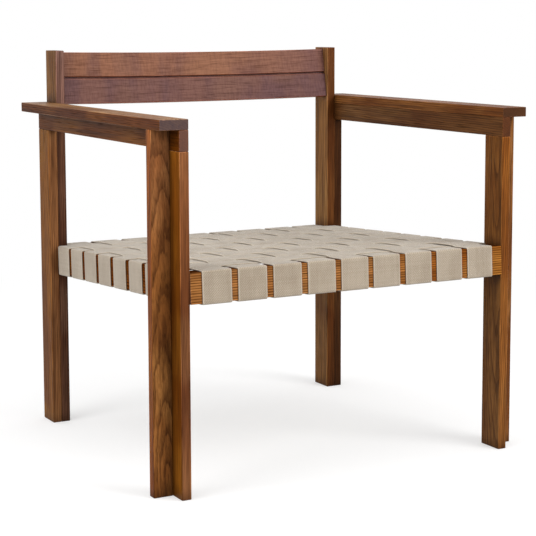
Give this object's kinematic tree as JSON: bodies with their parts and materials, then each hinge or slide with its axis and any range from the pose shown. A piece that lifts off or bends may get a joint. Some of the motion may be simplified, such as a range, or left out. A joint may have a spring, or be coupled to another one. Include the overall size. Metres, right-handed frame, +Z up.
{
  "type": "armchair",
  "caption": "Low armchair of flat wooden boards in parallel planes, with wide flat arms, a woven webbing seat and two leaning back slats.",
  "frame": {"origin": "middle of the bounding box's underside, on the floor between the four legs", "axes": "+X towards the sitter's left-hand side when seen from the front (the viewer's right), +Y towards the chair's back, +Z up"},
  "size_m": [0.672, 0.589, 0.67],
  "materials": {
    "frame_wood": "brown stained, satin, open grain",
    "rail_wood": "amber stained, satin, cross-flecked grain",
    "slat_wood": "brown stained, satin",
    "webbing": "unbleached woven canvas webbing, matt",
    "dowel_wood": "raw beech",
    "tack_steel": "plain steel"
  },
  "bodies": {
    "root": {"left_leg_side_board": "frame_wood", "left_leg_front_board": "frame_wood", "left_arm_rail": "frame_wood", "left_armrest": "frame_wood", "left_back_post": "frame_wood", "left_back_leg_board": "frame_wood", "left_seat_side_rail": "rail_wood", "right_leg_side_board": "frame_wood", "right_leg_front_board": "frame_wood", "right_arm_rail": "frame_wood", "right_armrest": "frame_wood", "right_back_post": "frame_wood", "right_back_leg_board": "frame_wood", "right_seat_side_rail": "rail_wood", "front_seat_rail": "rail_wood", "back_seat_rail": "rail_wood", "upper_back_slat": "slat_wood", "lower_back_slat": "slat_wood", "long_strap_1": "webbing", "long_strap_2": "webbing", "long_strap_3": "webbing", "long_strap_4": "webbing", "long_strap_5": "webbing", "long_strap_6": "webbing", "long_strap_7": "webbing", "long_strap_8": "webbing", "long_strap_9": "webbing", "cross_strap_1": "webbing", "cross_strap_2": "webbing", "cross_strap_3": "webbing", "cross_strap_4": "webbing", "cross_strap_5": "webbing", "cross_strap_6": "webbing", "cross_strap_7": "webbing", "cross_strap_8": "webbing", "long_dowels": "dowel_wood", "short_dowels": "dowel_wood", "webbing_tacks": "tack_steel"}
  },
  "joints": []
}
